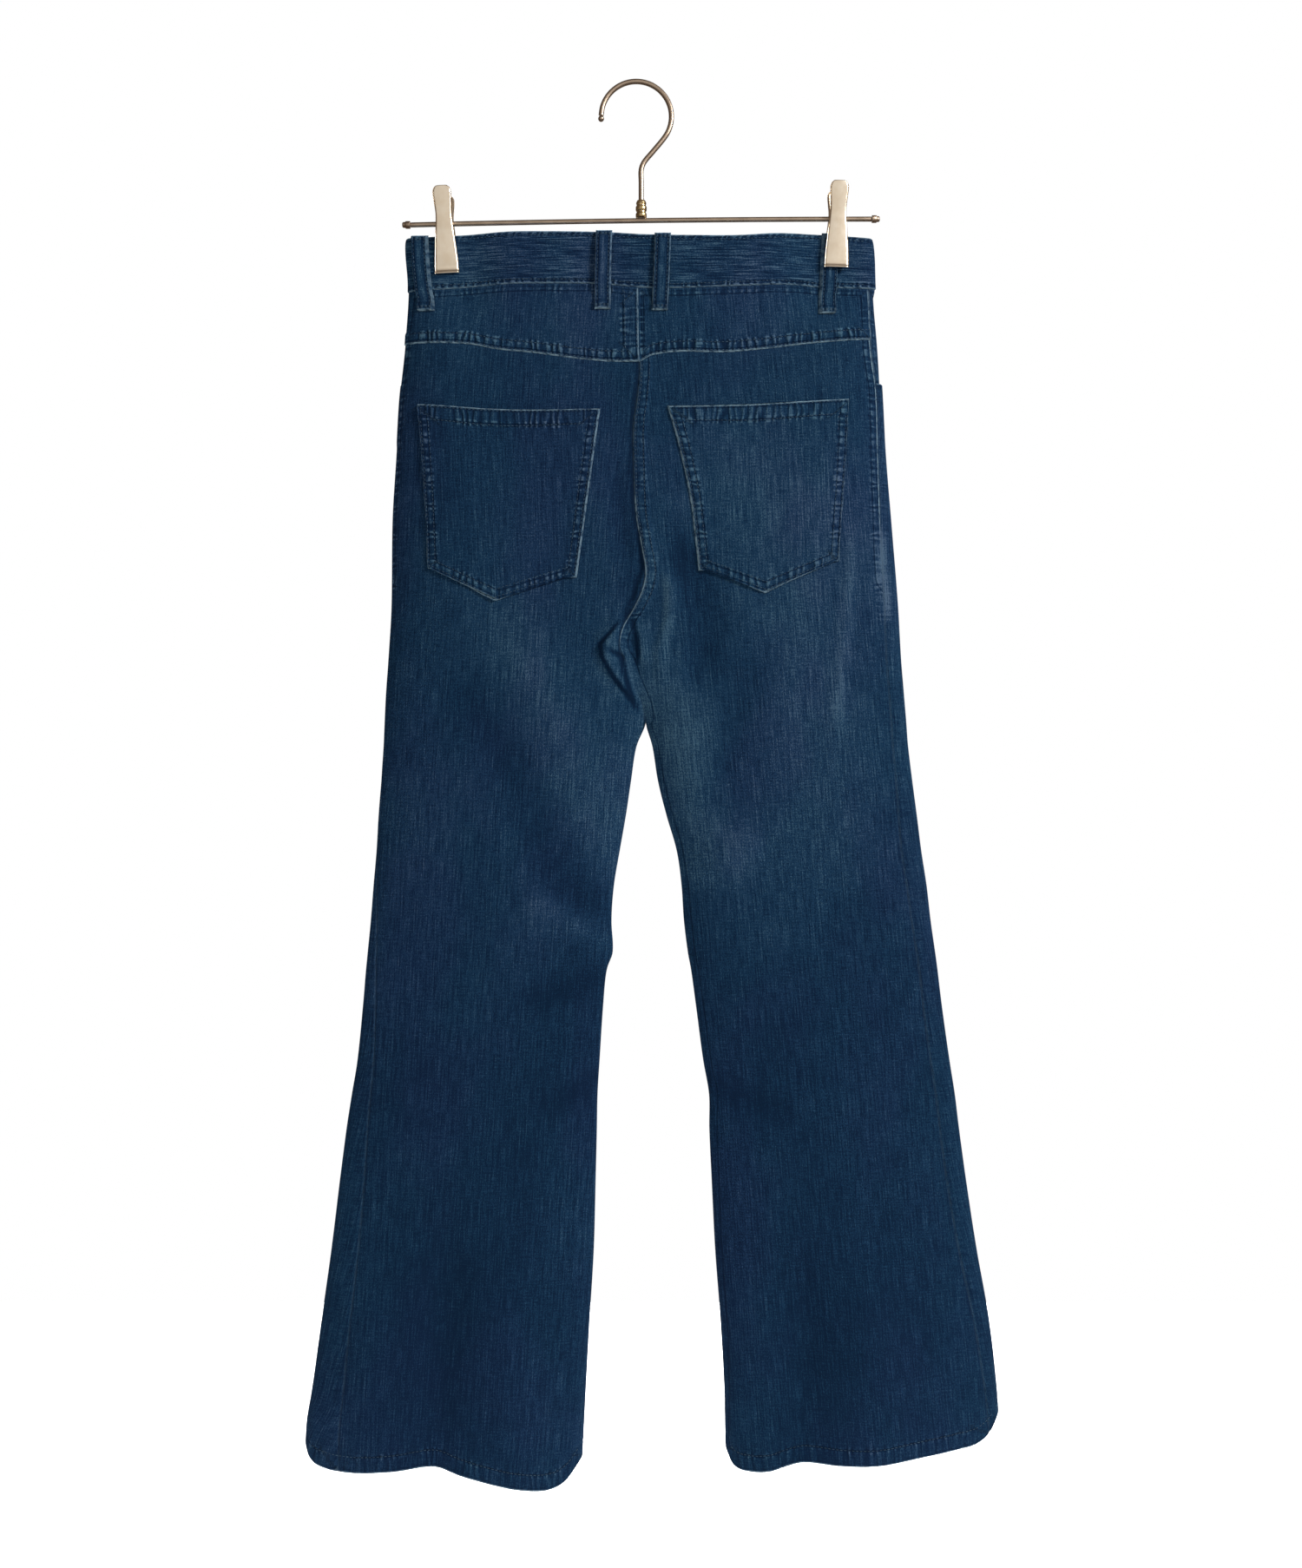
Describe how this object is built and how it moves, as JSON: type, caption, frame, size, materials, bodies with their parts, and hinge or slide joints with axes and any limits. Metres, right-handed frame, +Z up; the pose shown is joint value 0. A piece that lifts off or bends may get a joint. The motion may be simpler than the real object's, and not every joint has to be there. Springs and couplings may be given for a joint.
{
  "type": "flared jeans on a clip hanger",
  "caption": "Flared five-pocket denim jeans hanging flat by the waistband from a metal two-clip hanger.",
  "frame": {"origin": "inner crown of the hanger's hook, where a rail carries it", "axes": "+Z up, -Y the way the back of the jeans faces, +X towards the wearer's right"},
  "size_m": [0.5586, 0.0516, 1.1315],
  "materials": {
    "denim": "dark indigo stretch denim, washed, with pale worn edges",
    "inside_denim": "the paler inner face of the denim",
    "zip": "worn",
    "button": "antique, brushed",
    "clip_nickel": "satin champagne nickel",
    "hanger_steel": "polished"
  },
  "bodies": {
    "root": {"back_left": "denim", "back_right": "denim", "front_left": "denim", "front_right": "denim", "yoke_left": "denim", "yoke_right": "denim", "back_pocket_left": "denim", "back_pocket_right": "denim", "pocket_facing_left": "denim", "pocket_facing_right": "denim", "waistband": "denim", "belt_loop_back_left": "denim", "belt_loop_centre_left": "denim", "belt_loop_centre_right": "denim", "belt_loop_back_right": "denim", "belt_loop_front_left": "denim", "belt_loop_front_right": "denim", "zip": "zip", "fly_shield": "inside_denim", "button": "button", "hanger_bar": "hanger_steel", "hook": "hanger_steel", "hook_ball": "hanger_steel", "ferrule": "clip_nickel", "bar_cap_left": "hanger_steel", "bar_cap_right": "hanger_steel", "clip_left_front": "clip_nickel", "clip_left_back": "clip_nickel", "clip_left_spring": "hanger_steel", "clip_right_front": "clip_nickel", "clip_right_back": "clip_nickel", "clip_right_spring": "hanger_steel"}
  },
  "joints": []
}
